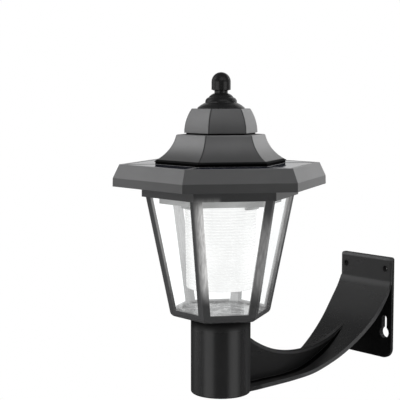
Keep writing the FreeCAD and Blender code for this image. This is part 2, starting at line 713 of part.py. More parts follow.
def lid_base():
    plate_r = BRIM_R - (BRIM_WALL + BASE_CLEAR) / COS30
    plate = hex_prism(plate_r, LID_Z, BASE_TOP)
    lug_low, lug_high = lug_heights()
    collar = pipe(COLLAR_R, COLLAR_R - COLLAR_WALL, lug_low, LID_Z)
    lugs = [wedge(start, start + LUG_SPAN_DEG, COLLAR_R + LUG_REACH, lug_low, lug_high)
            .cut(rod(COLLAR_R - COLLAR_WALL / 2, lug_low, lug_high)) for start in lug_angles()]
    standoffs = [rod(STANDOFF_R, BASE_TOP, CONTROL_Z, x, y) for x, y in standoff_places()]
    body = joined(plate, [collar] + lugs + standoffs)
    pilots = [rod(SCREW_SMALL[0], BASE_TOP, CONTROL_Z, x, y) for x, y in board_screw_places()]
    corners = list(ring_places(BASE_SCREW_COUNT, BASE_SCREW_RING))
    holes = [rod(SCREW_BIG[0] + SCREW_FREE, LID_Z, BASE_TOP, x, y)
             for x, y in corners + reflector_screw_places()]
    holes += [sunk_cone(SCREW_BIG, x, y, LID_Z, SINK_CLEAR) for x, y in corners]
    holes += [rod(LEAD_HOLE_R, LID_Z, BASE_TOP, x, y) for x, y in led_lead_places()]
    holes += [rod(LEAD_HOLE_R, LID_Z, BASE_TOP, x, y) for x, y in switch_lead_places()]
    return cut_all(body, pilots + holes)


def lid_gasket():
    low = NECK_TOP + GASKET_GAP
    outer = hex_prism(NECK_R - GASKET_INSET, low, LID_Z)
    return outer.cut(rod(COLLAR_R + SCREW_FREE, low, LID_Z))


def switch_slot(clear, z0, z1):
    half = KNOB_LENGTH / 2 + clear
    wide = KNOB_WIDTH / 2 + clear
    return box(-half, half + SWITCH_TRAVEL, SWITCH_RADIUS - wide, SWITCH_RADIUS + wide, z0, z1)


def reflector():
    """White cup under the lid, with three hooks for the diffuser and stakes for the board."""
    inner_r = REFLECTOR_R - REFLECTOR_WALL / COS30
    cup = hex_prism(REFLECTOR_R, REFLECTOR_Z, LID_Z)
    cup = cup.cut(hex_prism(inner_r, REFLECTOR_TOP, LID_Z))
    flange_foot = REFLECTOR_Z - DIFFUSER_FLANGE
    hook_in = DIFFUSER_FLANGE_R + HOOK_CLEAR
    hook_out = hook_in + HOOK_WALL
    foot_in = DIFFUSER_R + HOOK_CLEAR
    hook = pipe(hook_out, hook_in, flange_foot, REFLECTOR_Z)
    hook = hook.fuse(pipe(hook_out, foot_in, flange_foot - HOOK_FOOT, flange_foot))
    hooks = []
    for i in range(HOOK_COUNT):
        middle = HOOK_ANGLE_DEG + i * 360.0 / HOOK_COUNT
        sector = wedge(middle - HOOK_SPAN_DEG / 2, middle + HOOK_SPAN_DEG / 2, BIG,
                       flange_foot - HOOK_FOOT, REFLECTOR_Z)
        hooks.append(hook.common(sector))
    stakes = [rod(STAKE_R, REFLECTOR_TOP, LED_BOARD_TOP + STAKE_R, x, y)
              for x, y in ring_places(STAKE_COUNT, STAKE_RING_R)]
    posts = [rod(SCREW_BIG[0] + BOSS_WALL, REFLECTOR_TOP, LID_Z, x, y)
             for x, y in reflector_screw_places()]
    body = joined(cup, hooks + stakes + posts)
    holes = [rod(SCREW_BIG[0], LID_Z - SCREW_DEPTH, LID_Z, x, y) for x, y in reflector_screw_places()]
    holes.append(rod(LIGHT_HOLE_R, REFLECTOR_Z, REFLECTOR_TOP))
    holes.append(switch_slot(SLOT_CLEAR, REFLECTOR_Z, REFLECTOR_TOP))
    return cut_all(body, holes)


def diffuser():
    """Ribbed clear tube, closed at its lower end, with a flange for the hooks."""
    top = REFLECTOR_Z
    foot = top - DIFFUSER_LENGTH
    flange_foot = top - DIFFUSER_FLANGE
    rib_top = flange_foot - HOOK_FOOT - RIB_PITCH
    rib_foot = foot + RIB_PITCH
    taper = (DIFFUSER_R - DIFFUSER_END_R) / (rib_top - foot)
    count = int((rib_top - rib_foot) / RIB_PITCH)
    points = [(DIFFUSER_R - DIFFUSER_WALL, top), (DIFFUSER_FLANGE_R, top),
              (DIFFUSER_FLANGE_R, flange_foot), (DIFFUSER_R, flange_foot), (DIFFUSER_R, rib_top)]
    for i in range(count):
        z = rib_top - i * RIB_PITCH
        r = DIFFUSER_R - taper * (rib_top - z) - RIB_DEPTH
        crest = r + RIB_DEPTH
        points.append((r, z - RIB_PITCH * RIB_GROOVE_SHARE))
        points.append((crest, z - RIB_PITCH / 2, r, z - RIB_PITCH * (1 - RIB_GROOVE_SHARE)))
    edge, bow = DIFFUSER_EDGE, BOW * DIFFUSER_EDGE
    points += [(DIFFUSER_END_R, rib_top - count * RIB_PITCH), (DIFFUSER_END_R, foot + edge),
               (DIFFUSER_END_R - bow, foot + bow, DIFFUSER_END_R - edge, foot), (0, foot),
               (0, foot + DIFFUSER_WALL), (DIFFUSER_END_R - DIFFUSER_WALL, foot + DIFFUSER_WALL)]
    return turned_profile(points)


# ---------------------------------------------------------------- roof

def strip_outline(gap):
    """Inner and outer apothem of a strip's recess, less a gap."""
    inner = SEAL_R * COS30 + STRIP_MARGIN + gap
    outer = BRIM_TOP_R * COS30 - STRIP_INSET - gap
    return inner, outer


def strip_block(gap, z0, z1):
    """A trapezoid for the side that faces the wall. The other five are turned copies."""
    inner, outer = strip_outline(gap)
    inner_w = inner * TAN30 - STRIP_INSET / 2 - gap
    outer_w = outer * TAN30 - STRIP_INSET / 2 - gap
    pts = [vec(-inner_w, inner, z0), vec(inner_w, inner, z0),
           vec(outer_w, outer, z0), vec(-outer_w, outer, z0)]
    return Part.Face(Part.makePolygon(pts + pts[:1])).extrude(vec(0, 0, z1 - z0))


def solar_lead_places():
    middle = sum(strip_outline(0)) / 2
    return [(-LEAD_PITCH, middle), (LEAD_PITCH, middle)]


def brim_cover():
    a, band_a, top_a = (r * COS30 for r in (BRIM_R, BRIM_BAND_R, BRIM_TOP_R))
    outer = hexagonal([(0, LID_Z), (a, LID_Z), (band_a, BAND_TOP), (top_a, BRIM_TOP), (0, BRIM_TOP)])
    w = BRIM_WALL
    under = BRIM_TOP - BRIM_TOP_THICK
    bevel = (band_a - top_a) / BRIM_BEVEL
    inner = hexagonal([(0, LID_Z), (a - w, LID_Z), (band_a - w, BAND_TOP),
                       (band_a - w - bevel * (under - BAND_TOP), under), (0, under)])
    bosses = [rod(SCREW_BIG[0] + BOSS_WALL, BASE_TOP, under, x, y)
              for x, y in ring_places(BASE_SCREW_COUNT, BASE_SCREW_RING)]
    body = joined(outer.cut(inner), bosses)
    tools = [hex_prism(BRIM_OPENING_R, under, BRIM_TOP)]
    tools += [turned(strip_block(0, BRIM_TOP - STRIP_RECESS, BRIM_TOP), SIXTH * i)
              for i in range(STRIP_COUNT)]
    tools += [rod(SCREW_BIG[0], BASE_TOP, BASE_TOP + SCREW_DEPTH, x, y)
              for x, y in ring_places(BASE_SCREW_COUNT, BASE_SCREW_RING)]
    tools += [rod(SCREW_SMALL[0] + SCREW_FREE, under, BRIM_TOP, x, y)
              for x, y in ring_places(TRIO_COUNT, SKIRT_SCREW_RING, FACE_DEG)]
    tools += [rod(LEAD_HOLE_R, under, BRIM_TOP, x, y) for x, y in solar_lead_places()]
    return cut_all(body, tools)


def solar_strip(i):
    foot = BRIM_TOP - STRIP_RECESS
    return turned(strip_block(STRIP_GAP, foot, foot + STRIP_THICK), SIXTH * i)


def roof_seal():
    """Black seal between brim and skirt. It shows as a dark line under the skirt."""
    ring = hex_prism(SEAL_R, BRIM_TOP, SKIRT_Z).cut(hex_prism(BRIM_OPENING_R, BRIM_TOP, SKIRT_Z))
    return cut_all(ring, [rod(SCREW_SMALL[0] + SCREW_FREE, BRIM_TOP, SKIRT_Z, x, y)
                          for x, y in ring_places(TRIO_COUNT, SKIRT_SCREW_RING, FACE_DEG)])


def roof_skirt():
    """Flared middle tier: hollow sides, a foot flange and a plinth for the dome."""
    a, top_a = SKIRT_R * COS30, SKIRT_TOP_R * COS30
    mid_a = top_a + (a - top_a) * SKIRT_HOLLOW[0]
    lip = SKIRT_Z + SKIRT_LIP
    mid_z = SKIRT_Z + SKIRT_RISE * SKIRT_HOLLOW[1]
    r = SKIRT_EDGE_ROUND
    outer = hexagonal([(0, SKIRT_Z), (a, SKIRT_Z), (a, lip), (mid_a, mid_z, top_a, SKIRT_TOP - r),
                       (top_a - BOW * r, SKIRT_TOP - BOW * r, top_a - r, SKIRT_TOP), (0, SKIRT_TOP)])
    w = SHELL_WALL
    flange = SKIRT_Z + SKIRT_FLANGE
    ceiling = SKIRT_TOP - w
    inner = hexagonal([(0, flange), (a - SKIRT_FOOT_WALLS * w, flange),
                       (mid_a - w, mid_z, top_a - w, ceiling), (0, ceiling)])
    bosses = [rod(SCREW_SMALL[0] + BOSS_WALL_SMALL, SKIRT_Z, flange + BOSS_RISE, x, y)
              for x, y in ring_places(TRIO_COUNT, SKIRT_SCREW_RING, FACE_DEG)]
    plinth = hex_prism(DOME_PLINTH_R, SKIRT_TOP, DOME_Z)
    body = joined(outer.cut(inner), bosses + [plinth])
    tools = [hex_prism(BRIM_OPENING_R, SKIRT_Z, flange), rod(DOME_FLANGE_R, ceiling, DOME_Z)]
    tools += [rod(SCREW_SMALL[0], SKIRT_Z, flange + BOSS_RISE, x, y)
              for x, y in ring_places(TRIO_COUNT, SKIRT_SCREW_RING, FACE_DEG)]
    tools += [rod(SCREW_SMALL[0] + SCREW_FREE, ceiling, DOME_Z, x, y)
              for x, y in ring_places(TRIO_COUNT, DOME_SCREW_RING, FACE_DEG)]
    return cut_all(body, tools)


def roof_dome():
    a, top_a = DOME_R * COS30, DOME_TOP_R * COS30
    mid_a = top_a + (a - top_a) * DOME_SWELL[0]
    mid_z = DOME_Z + DOME_RISE * DOME_SWELL[1]
    outer = hexagonal([(0, DOME_Z), (a, DOME_Z), (mid_a, mid_z, top_a, DOME_TOP), (0, DOME_TOP)])
    w = SHELL_WALL
    flange = DOME_Z + DOME_FLANGE
    ceiling = DOME_TOP - w
    inner = hexagonal([(0, flange), (a - w, flange),
                       (mid_a - w, mid_z, top_a - DOME_TOP_WALLS * w, ceiling), (0, ceiling)])
    places = list(ring_places(TRIO_COUNT, DOME_SCREW_RING, FACE_DEG))
    bosses = [rod(SCREW_SMALL[0] + BOSS_WALL_SMALL, DOME_Z, DOME_Z + DOME_BOSS, x, y)
              for x, y in places]
    body = outer.cut(inner).cut(rod(DOME_FLANGE_R, DOME_Z, flange))
    body = joined(body, [b.cut(rod(DOME_FLANGE_R, DOME_Z, flange)) for b in bosses])
    tools = [rod(SCREW_SMALL[0], DOME_Z, DOME_Z + DOME_BOSS - 2 * SCREW_END_GAP, x, y)
             for x, y in places]
    tools.append(rod(SCREW_BIG[0] + SCREW_FREE, ceiling, DOME_TOP))
    return cut_all(body, tools)


def finial():
    """Stepped finial: flange, two convex steps, a neck and a domed tip."""
    scale = (FINIAL_R, FINIAL_HEIGHT)
    profile = [tuple(share * scale[i % 2] + (DOME_TOP if i % 2 else 0)
                     for i, share in enumerate(point)) for point in FINIAL_STEPS]
    tip = FINIAL_TIP_R
    top = DOME_TOP + FINIAL_HEIGHT
    profile += [(tip, DOME_TOP + FINIAL_TIP_START * FINIAL_HEIGHT), (tip, top - tip),
                (tip * COS30, top - tip / 2, 0, top)]
    return turned_profile(profile).cut(rod(SCREW_BIG[0], DOME_TOP, DOME_TOP + SCREW_DEPTH))


# ---------------------------------------------------------------- light source and electrics

def led_board():
    disc = rod(LED_BOARD_R, REFLECTOR_TOP, LED_BOARD_TOP)
    return cut_all(disc, [rod(STAKE_R, REFLECTOR_TOP, LED_BOARD_TOP, x, y)
                          for x, y in ring_places(STAKE_COUNT, STAKE_RING_R)])


def led_chips():
    half = LED_SIZE / 2
    chips = []
    for x, y in ring_places(LED_COUNT, LED_RING_R, FACE_DEG):
        chips.append(box(x - half, x + half, y - half, y + half,
                         REFLECTOR_TOP - LED_THICK, REFLECTOR_TOP))
    return group(chips)


def control_board():
    half = CONTROL_LENGTH / 2
    board = box(-half, half, CONTROL_Y - CONTROL_WIDTH / 2, CONTROL_Y + CONTROL_WIDTH / 2,
                CONTROL_Z, CONTROL_TOP)
    return cut_all(board, [rod(SCREW_SMALL[0] + SCREW_FREE, CONTROL_Z, CONTROL_TOP, x, y)
                           for x, y in board_screw_places()])


def board_parts():
    """Driver chip, coil and storage capacitor on the control board."""
    z = CONTROL_TOP
    length, width, height = DRIVER_SIZE
    driver = box(-length / 2, length / 2, CONTROL_Y - width / 2, CONTROL_Y + width / 2, z, z + height)
    coil = rod(COIL_SIZE[0], z, z + COIL_SIZE[1], PART_PITCH, CONTROL_Y)
    capacitor = rod(CAPACITOR_SIZE[0], z, z + CAPACITOR_SIZE[1], -PART_PITCH, CONTROL_Y)
    return group([driver, coil, capacitor])


def battery_tray():
    side = CELL_R + TRAY_CLEAR
    length = TRAY_INNER + TRAY_WALL
    body = box(-length, length, CELL_Y - side - TRAY_WALL, CELL_Y + side + TRAY_WALL,
               BASE_TOP, TRAY_FLOOR + TRAY_END_RISE)
    hollow = box(-TRAY_INNER, TRAY_INNER, CELL_Y - side, CELL_Y + side, TRAY_FLOOR, BIG)
    low_sides = box(-TRAY_INNER, TRAY_INNER, -BIG, BIG, TRAY_FLOOR + TRAY_SIDE_RISE, BIG)
    return body.cut(hollow).cut(low_sides)


def battery_cell():
    """The cell lies along X, with its nub against the plus contact."""
    plus_face = CELL_BAY / 2
    can_start = plus_face - CELL_LENGTH
    along = vec(1, 0, 0)
    can = Part.makeCylinder(CELL_R, CELL_LENGTH - CELL_NUB, vec(can_start, CELL_Y, CELL_Z), along)
    rims = [e for e in can.Edges if len(e.Vertexes) == 1]
    can = can.makeFillet(CELL_EDGE, rims)
    nub = Part.makeCylinder(CELL_NUB_R, CELL_NUB, vec(plus_face - CELL_NUB, CELL_Y, CELL_Z), along)
    return can.fuse(nub).removeSplitter()


def contact_plate(x0, x1):
    half = CONTACT_WIDTH / 2
    return box(x0, x1, CELL_Y - half, CELL_Y + half, TRAY_FLOOR, TRAY_FLOOR + CONTACT_RISE)


def contact_plus():
    return contact_plate(CELL_BAY / 2, TRAY_INNER)


def contact_minus():
    """Plate with a bowed leaf that presses on the cell."""
    plate = contact_plate(-TRAY_INNER, -CELL_BAY / 2)
    half = CONTACT_WIDTH / 2 - LEAF_INSET
    face = -CELL_BAY / 2
    crest = face + CONTACT_SPRING
    low, high = CELL_Z - LEAF_FOOT, CELL_Z + LEAF_TOP
    mid = (low + high) / 2
    t = CONTACT_THICK
    leaf = face_of([arc(vec(face, 0, low), vec(crest, 0, mid), vec(face, 0, high)),
                    line(vec(face, 0, high), vec(face, 0, high - t)),
                    arc(vec(face, 0, high - t), vec(crest - t, 0, mid), vec(face, 0, low + t)),
                    line(vec(face, 0, low + t), vec(face, 0, low))])
    leaf = leaf.extrude(vec(0, 2 * half, 0)).translated(vec(0, CELL_Y - half, 0))
    return joined(plate, [leaf])


def switch_body():
    half = SWITCH_LENGTH / 2
    wide = SWITCH_WIDTH / 2
    middle = SWITCH_TRAVEL / 2
    body = box(middle - half, middle + half, SWITCH_RADIUS - wide, SWITCH_RADIUS + wide,
               REFLECTOR_TOP, REFLECTOR_TOP + SWITCH_HEIGHT)
    return body.cut(switch_slot(SLOT_CLEAR / 2, REFLECTOR_TOP, REFLECTOR_TOP + SWITCH_HEIGHT / 2))


def switch_slider():
    half = KNOB_LENGTH / 2
    wide = KNOB_WIDTH / 2
    top = REFLECTOR_TOP + SWITCH_HEIGHT / 2 - SLOT_CLEAR / 2
    foot = REFLECTOR_Z - KNOB_REACH
    knob = box(-half, half, SWITCH_RADIUS - wide, SWITCH_RADIUS + wide, foot, top)
    return cut_all(knob, [box(x - GRIP_WIDTH / 2, x + GRIP_WIDTH / 2, SWITCH_RADIUS - wide,
                              SWITCH_RADIUS + wide, foot, foot + GRIP_DEPTH) for x in GRIP_PLACES])


def solar_leads():
    start = BRIM_TOP - STRIP_RECESS
    low = CONTROL_TOP + 2 * LEAD_BEND
    land = CONTROL_Y + CONTROL_WIDTH / 2 - PAD_INSET
    return group([lead([(x, y, start), (x, y, low), (x, land, low), (x, land, CONTROL_TOP)], LEAD_BEND)
                  for x, y in solar_lead_places()])


def battery_leads():
    start = TRAY_FLOOR + CONTACT_RISE
    high = start + 2 * LEAD_BEND_WIDE
    land_y = CONTROL_Y - CONTROL_WIDTH / 2 + PAD_INSET
    leads = []
    for side in (-1, 1):
        x = side * (CELL_BAY / 2 + CONTACT_THICK / 2)
        pad = side * PAD_X
        leads.append(lead([(x, CELL_Y, start), (x, CELL_Y, high), (pad, land_y, high),
                           (pad, land_y, CONTROL_TOP)], LEAD_BEND_WIDE))
    return group(leads)


def led_leads():
    high = CONTROL_TOP + 2 * LEAD_BEND
    land_y = CONTROL_Y - CONTROL_WIDTH / 2 + PAD_INSET
    return group([lead([(x, y, LED_BOARD_TOP), (x, y, high), (x, land_y, high),
                        (x, land_y, CONTROL_TOP)], LEAD_BEND) for x, y in led_lead_places()])


def switch_leads():
    return group([rod(LEAD_R, REFLECTOR_TOP + SWITCH_HEIGHT, CONTROL_Z, x, y)
                  for x, y in switch_lead_places()])


# ---------------------------------------------------------------- screws

def base_screws():
    length = BASE_THICK + SCREW_DEPTH - SCREW_END_GAP
    return group([sunk_screw(SCREW_BIG, x, y, LID_Z, length)
                  for x, y in ring_places(BASE_SCREW_COUNT, BASE_SCREW_RING)])


def reflector_screws():
    length = BASE_THICK + SCREW_DEPTH - SCREW_END_GAP
    return group([screw(SCREW_BIG, x, y, BASE_TOP, length, False)
                  for x, y in reflector_screw_places()])


def board_screws():
    length = BOARD_THICK + STANDOFF_HEIGHT - SCREW_END_GAP
    return group([screw(SCREW_SMALL, x, y, CONTROL_TOP, length, False)
                  for x, y in board_screw_places()])


def skirt_screws():
    under = BRIM_TOP - BRIM_TOP_THICK
    length = SKIRT_Z - under + SKIRT_FLANGE + BOSS_RISE - SCREW_END_GAP
    return group([screw(SCREW_SMALL, x, y, under, length)
                  for x, y in ring_places(TRIO_COUNT, SKIRT_SCREW_RING, FACE_DEG)])


def dome_screws():
    under = SKIRT_TOP - SHELL_WALL
    length = DOME_Z - under + DOME_BOSS - 3 * SCREW_END_GAP
    return group([screw(SCREW_SMALL, x, y, under, length)
                  for x, y in ring_places(TRIO_COUNT, DOME_SCREW_RING, FACE_DEG)])


def finial_screw():
    return screw(SCREW_BIG, 0, 0, DOME_TOP - SHELL_WALL,
                 SHELL_WALL + SCREW_DEPTH - SCREW_END_GAP)


# ---------------------------------------------------------------- write every sub-part

export("bracket", bracket())
export("cage", cage())
export("spigot", spigot())
export("clear_liner", clear_liner())
export("lid_base", lid_base())
export("lid_gasket", lid_gasket())
export("brim_cover", brim_cover())
for number in range(STRIP_COUNT):
    export("solar_strip_%d" % (number + 1), solar_strip(number))
export("roof_seal", roof_seal())
export("roof_skirt", roof_skirt())
export("roof_dome", roof_dome())
export("finial", finial())
export("reflector", reflector())
export("diffuser", diffuser())
export("led_board", led_board())
export("led_chips", led_chips())
export("control_board", control_board())
export("board_parts", board_parts())
export("battery_tray", battery_tray())
export("battery_cell", battery_cell())
export("contact_plus", contact_plus())
export("contact_minus", contact_minus())
export("switch_body", switch_body())
export("switch_slider", switch_slider())
export("solar_leads", solar_leads())
export("battery_leads", battery_leads())
export("led_leads", led_leads())
export("switch_leads", switch_leads())
export("base_screws", base_screws())
export("reflector_screws", reflector_screws())
export("board_screws", board_screws())
export("skirt_screws", skirt_screws())
export("dome_screws", dome_screws())
export("finial_screw", finial_screw())
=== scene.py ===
import json
import math

import bpy
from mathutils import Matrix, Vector

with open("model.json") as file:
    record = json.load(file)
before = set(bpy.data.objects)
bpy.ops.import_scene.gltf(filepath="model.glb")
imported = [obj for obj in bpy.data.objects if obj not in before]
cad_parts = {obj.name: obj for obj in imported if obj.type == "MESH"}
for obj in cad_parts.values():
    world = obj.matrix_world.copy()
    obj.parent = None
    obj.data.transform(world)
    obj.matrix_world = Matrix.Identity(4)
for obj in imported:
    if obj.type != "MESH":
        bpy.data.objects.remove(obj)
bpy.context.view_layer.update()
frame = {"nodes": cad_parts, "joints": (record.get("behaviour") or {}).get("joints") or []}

SCENE = bpy.context.scene


# ------------------------------------------------------------------ places
# All in metres in the part's frame: x across the wall plate, y into the wall, z up. Every node's own
# coordinates are the frame's, so a place on a node holds in every pose.

def extent(name):
    """Lowest and highest corner of a node's own mesh."""
    corners = frame["nodes"][name].bound_box
    return Vector(corners[0]), Vector(corners[6])


def joint_place(name):
    return next(joint["pos_m"] for joint in frame["joints"] if joint["name"] == name)


_, AXIS_Y, SEAT_Z = joint_place("lantern_turn")     # lantern axis in plan, underside of the cage

BRIM_BAND = 0.0058
BAND_TOP_Z = extent("brim_cover")[0].z + BRIM_BAND  # where the brim's upright band ends
PLINTH_RISE = 0.0011                                # plinth on the skirt under the dome, painted black as shade
SKIRT_FOOT_Z = extent("roof_skirt")[0].z
SKIRT_TOP_Z = extent("roof_skirt")[1].z - PLINTH_RISE
LINER_FLOOR = 0.0016
LINER_FLOOR_Z = extent("clear_liner")[0].z + LINER_FLOOR
RING_PITCH = 0.002                                  # ribs of the diffuser
CELL_PITCH = 0.008                                  # bars and wires of a solar strip
WIRE_PITCH = 0.0017

PLATE_FRONT_Y = -0.0039
PLATE_TOP_Z = extent("bracket")[1].z
CREASE_Z = PLATE_TOP_Z - 0.0187                     # where the ribbon meets the plate
SCREW_HOLE_X = 0.020
SCREW_HOLE_Z = PLATE_TOP_Z - 0.0089
SOCKET_R = 0.0209
SOCKET_BACK_Y = AXIS_Y + SOCKET_R                   # the socket's side towards the wall
RIBBON_SIDE_X = 0.012                               # narrowest half of the ribbon
WEB_HALF = 0.0014
WEB_CENTRE_Y, WEB_CENTRE_Z, WEB_RADIUS = -0.076, 0.0644, 0.0894  # hollow top edge of the web
WEB_END_Y = -0.030                                  # where that edge runs out into the ribbon
WEB_SHADE_TOP_Z, WEB_SHADE_LOW_Z = -0.0135, -0.034        # painted shade at the web's foot: end, widest place
WEB_SHADE_TOP_X, WEB_SHADE_LOW_X = 0.0036, 0.0072         # and how far it reaches there from the middle

SIXTH = math.pi / 3                                 # one side of the hexagon


# ------------------------------------------------------------------ node helpers

class Nodes:
    """Short calls for the nodes of one tree."""

    def __init__(self, tree):
        self.nodes = tree.nodes
        self.links = tree.links
        self.nodes.clear()

    def add(self, kind, **values):
        node = self.nodes.new(kind)
        for key, value in values.items():
            setattr(node, key, value)
        return node

    def put(self, socket, value):
        """Link a socket to another one, or give it a value."""
        if isinstance(value, bpy.types.NodeSocket):
            self.links.new(value, socket)
        elif isinstance(value, (tuple, list)) and len(value) == 3 and socket.type == "RGBA":
            socket.default_value = (*value, 1.0)
        else:
            socket.default_value = value

    def math(self, op, a, b=0.0, c=None, clamp=False):
        node = self.add("ShaderNodeMath", operation=op, use_clamp=clamp)
        self.put(node.inputs[0], a)
        self.put(node.inputs[1], b)
        if c is not None:
            self.put(node.inputs[2], c)
        return node.outputs[0]

    def plus(self, a, b, clamp=False):
        return self.math("ADD", a, b, clamp=clamp)

    def minus(self, a, b):
        return self.math("SUBTRACT", a, b)

    def size(self, a):
        return self.math("ABSOLUTE", a)

    def times(self, *values):
        product = values[0]
        for value in values[1:]:
            product = self.math("MULTIPLY", product, value)
        return product

    def most(self, *values):
        top = values[0]
        for value in values[1:]:
            top = self.math("MAXIMUM", top, value)
        return top

    def distance(self, a, b):
        return self.math("SQRT", self.plus(self.times(a, a), self.times(b, b)))

    def dot(self, a, b):
        node = self.add("ShaderNodeVectorMath", operation="DOT_PRODUCT")
        self.put(node.inputs[0], a)
        self.put(node.inputs[1], b)
        return node.outputs["Value"]

    def ramp(self, value, low, high, a=0.0, b=1.0):
        """Map a value from low..high to a..b, smoothly."""
        node = self.add("ShaderNodeMapRange", interpolation_type="SMOOTHSTEP")
        for name, given in (("Value", value), ("From Min", low), ("From Max", high),
                            ("To Min", a), ("To Max", b)):
            self.put(node.inputs[name], given)
        return node.outputs[0]

    def split(self, vector):
        node = self.add("ShaderNodeSeparateXYZ")
        self.put(node.inputs[0], vector)
        return node.outputs

    def mix_shaders(self, share, first, second):
        node = self.add("ShaderNodeMixShader")
        self.put(node.inputs[0], share)
        self.links.new(first.outputs[0], node.inputs[1])
        self.links.new(second.outputs[0], node.inputs[2])
        return node

    def seen(self):
        """1 for rays that come from the camera or through a clear piece, and the light path."""
        path = self.add("ShaderNodeLightPath").outputs
        return self.most(path["Is Camera Ray"], path["Is Transmission Ray"]), path


class Mat(Nodes):
    """A node material, with the texture and surface nodes that it is made of."""

    def __init__(self, name):
        self.material = bpy.data.materials.new(name)
        self.material.use_nodes = True
        super().__init__(self.material.node_tree)
        self.out = self.add("ShaderNodeOutputMaterial")
        coords = self.add("ShaderNodeTexCoord").outputs
        self.coord = coords["Object"]
        self.normal = coords["Normal"]

    def xyz(self):
        return self.split(self.coord)

    def facing(self):
        return self.split(self.normal)

    def mapped(self, scale):
        node = self.add("ShaderNodeMapping")
        self.put(node.inputs["Vector"], self.coord)
        node.inputs["Scale"].default_value = scale
        return node.outputs[0]

    def noise(self, scale, detail=4.0, rough=0.55, vector=None, distortion=0.0):
        node = self.add("ShaderNodeTexNoise")
        self.put(node.inputs["Vector"], self.coord if vector is None else vector)
        node.inputs["Scale"].default_value = scale
        node.inputs["Detail"].default_value = detail
        node.inputs["Roughness"].default_value = rough
        node.inputs["Distortion"].default_value = distortion
        return node.outputs["Fac"]

    def blend(self, share, a, b):
        node = self.add("ShaderNodeMix", data_type="RGBA")
        self.put(node.inputs[0], share)
        self.put(node.inputs[6], a)
        self.put(node.inputs[7], b)
        return node.outputs[2]

    def bump(self, height, strength, depth, normal=None):
        node = self.add("ShaderNodeBump")
        node.inputs["Strength"].default_value = strength
        node.inputs["Distance"].default_value = depth
        self.put(node.inputs["Height"], height)
        if normal is not None:
            self.put(node.inputs["Normal"], normal)
        return node.outputs[0]

    def bevel(self, radius):
        node = self.add("ShaderNodeBevel", samples=6)
        node.inputs["Radius"].default_value = radius
        return node.outputs[0]

    def edges(self, radius):
        """1 near sharp edges, 0 on flats: how far a rounded normal leaves the true one."""
        geometry = self.add("ShaderNodeNewGeometry")
        return self.ramp(self.dot(self.bevel(radius), geometry.outputs["True Normal"]), 0.999, 0.93)

    def limb(self, blend=0.5, normal=None):
        """0 where a face looks at the viewer, 1 where it is seen edge on: for gloss alone."""
        node = self.add("ShaderNodeLayerWeight")
        node.inputs["Blend"].default_value = blend
        if normal is not None:
            self.put(node.inputs["Normal"], normal)
        return node.outputs["Facing"]

    def polar(self):
        """Plan angle round the lantern axis, the distance from it, and x and y from it."""
        x, y, _ = self.xyz()
        y = self.minus(y, AXIS_Y)
        return self.math("ARCTAN2", y, x), self.distance(x, y), x, y

    def outward(self):
        """How far a face looks away from the lantern axis: 1 outward, -1 inward."""
        _, radius, x, y = self.polar()
        nx, ny, _ = self.facing()
        return self.math("DIVIDE", self.plus(self.times(x, nx), self.times(y, ny)), radius)

    def shader(self, **values):
        node = self.add("ShaderNodeBsdfPrincipled")
        for name, value in values.items():
            self.put(node.inputs[name.replace("_", " ")], value)
        return node

    def finish(self, node):
        self.links.new(node.outputs[0], self.out.inputs["Surface"])
        return self.material


# ------------------------------------------------------------------ places that a finish picks out: joints, painted shade, painted highlights, painted light
# Each gives 1 on its place and 0 elsewhere, with a soft edge. The last one gives a share of painted
# light.

def mitre_lines(m):
    """The parting lines at the six corners of the roof."""
    half_width = 0.00042
    angle, radius, _, _ = m.polar()
    corner = m.times(m.math("ROUND", m.math("DIVIDE", angle, SIXTH)), SIXTH)
    side = m.times(radius, m.size(m.math("SINE", m.minus(angle, corner))))
    return m.ramp(side, half_width * 1.5, half_width * 0.5)


# painted shade inside and round the screw holes
def screw_hole_shade(m):
    x, _, z = m.xyz()
    away = m.distance(m.minus(m.size(x), SCREW_HOLE_X), m.minus(z, SCREW_HOLE_Z))
    return m.ramp(away, 0.0029, 0.0021)


def shadowed_plate(m):
    """Painted shadow on the front of the wall plate below the ribbon."""
    _, y, z = m.xyz()
    return m.times(m.ramp(y, PLATE_FRONT_Y - 0.0007, PLATE_FRONT_Y - 0.0002),
                   m.ramp(z, CREASE_Z - 0.0012, CREASE_Z - 0.0032),
                   m.ramp(m.facing()[1], -0.05, -0.4))


def web_foot_shade(m):
    """Painted shade on the ribbon along both sides of the web's foot, wider towards the socket."""
    x, y, z = m.xyz()
    nx, _, nz = m.facing()
    side = m.size(x)
    reach = m.ramp(z, WEB_SHADE_TOP_Z + 0.0005, WEB_SHADE_LOW_Z, WEB_SHADE_TOP_X, WEB_SHADE_LOW_X)
    beside = m.times(m.ramp(m.math("DIVIDE", side, reach), 1.0, 0.75),
                     m.ramp(side, WEB_HALF - 0.00002, WEB_HALF + 0.00005))
    upward = m.times(m.ramp(m.size(nx), 0.5, 0.2), m.ramp(nz, 0.2, 0.3))
    behind_socket = m.ramp(y, SOCKET_BACK_Y - 0.0004, SOCKET_BACK_Y + 0.0006)
    return m.times(beside, upward, m.ramp(z, WEB_SHADE_TOP_Z, WEB_SHADE_TOP_Z - 0.004), behind_socket)


def socket_collar(m):
    """Top of the socket, in the shade of the cage."""
    _, y, z = m.xyz()
    return m.times(m.ramp(z, SEAT_Z - 0.0087, SEAT_Z - 0.0012),
                   m.ramp(y, SOCKET_BACK_Y + 0.0081, SOCKET_BACK_Y + 0.0031))


def bracket_shade_and_matt(m):
    """Places on the bracket with painted shade, dulled reflection and no gloss."""
    return m.most(m.times(screw_hole_shade(m), 0.6), m.times(shadowed_plate(m), 0.9),
                  m.times(socket_collar(m), 0.75), web_foot_shade(m))


# painted highlight along the top edge of the wall plate
def plate_top_highlight(m):
    z = m.xyz()[2]
    return m.times(m.ramp(z, PLATE_TOP_Z - 0.0028, PLATE_TOP_Z - 0.0018),
                   m.ramp(z, PLATE_TOP_Z + 0.0002, PLATE_TOP_Z - 0.0006, 0.3, 1.0),
                   m.ramp(m.facing()[1], 0.0, -0.2))
